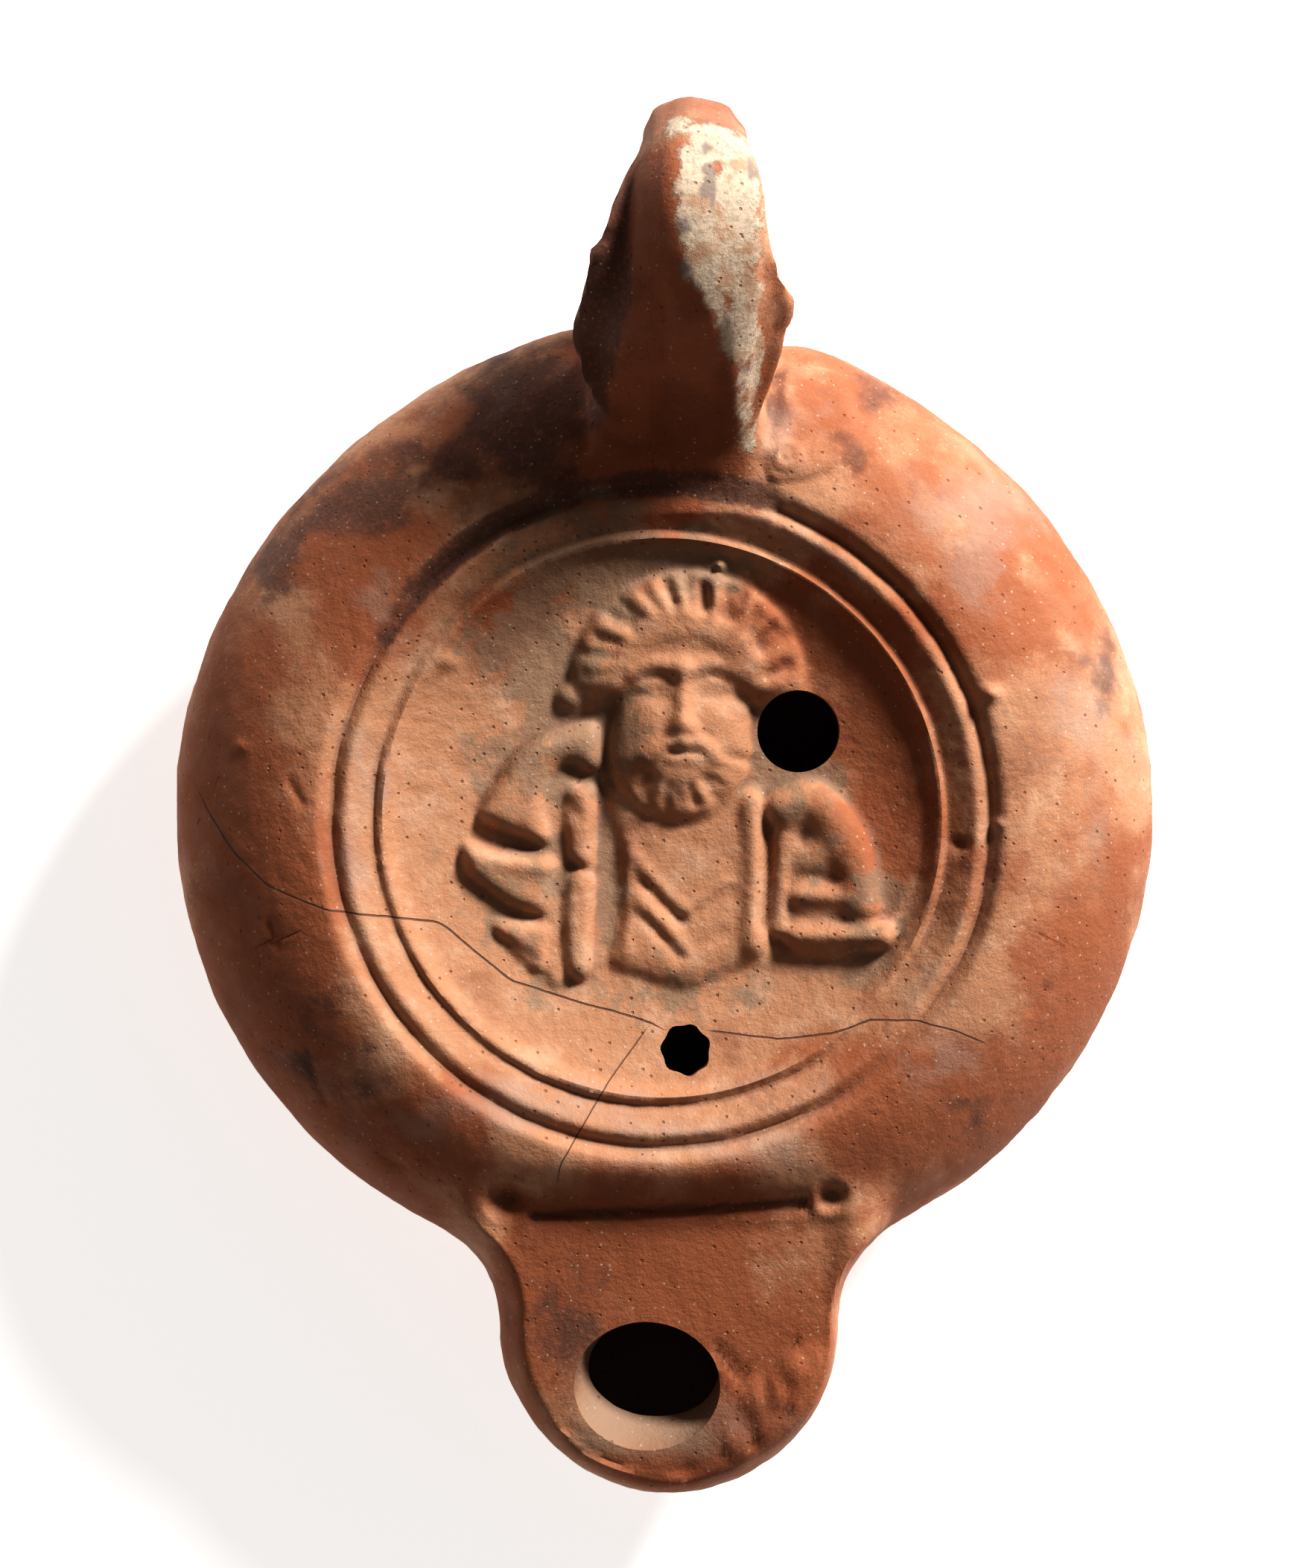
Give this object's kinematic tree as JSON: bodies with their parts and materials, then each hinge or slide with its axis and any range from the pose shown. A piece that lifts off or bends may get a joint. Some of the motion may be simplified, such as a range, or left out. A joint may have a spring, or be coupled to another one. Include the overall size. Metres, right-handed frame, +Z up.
{
  "type": "roman oil lamp",
  "caption": "Mould-made terracotta oil lamp with a round body, dished discus with a bust in relief, short rounded nozzle and pierced handle.",
  "frame": {"origin": "centre of the flat underside, on the surface the lamp stands on", "axes": "+Z up; +Y towards the handle and -Y towards the nozzle; +X to the side of the filling hole"},
  "size_m": [0.08, 0.1121, 0.0428],
  "materials": {
    "terracotta": "worn matt slip over orange-brown clay, dusty in the hollows"
  },
  "bodies": {
    "root": {"lamp": "terracotta"}
  },
  "joints": []
}
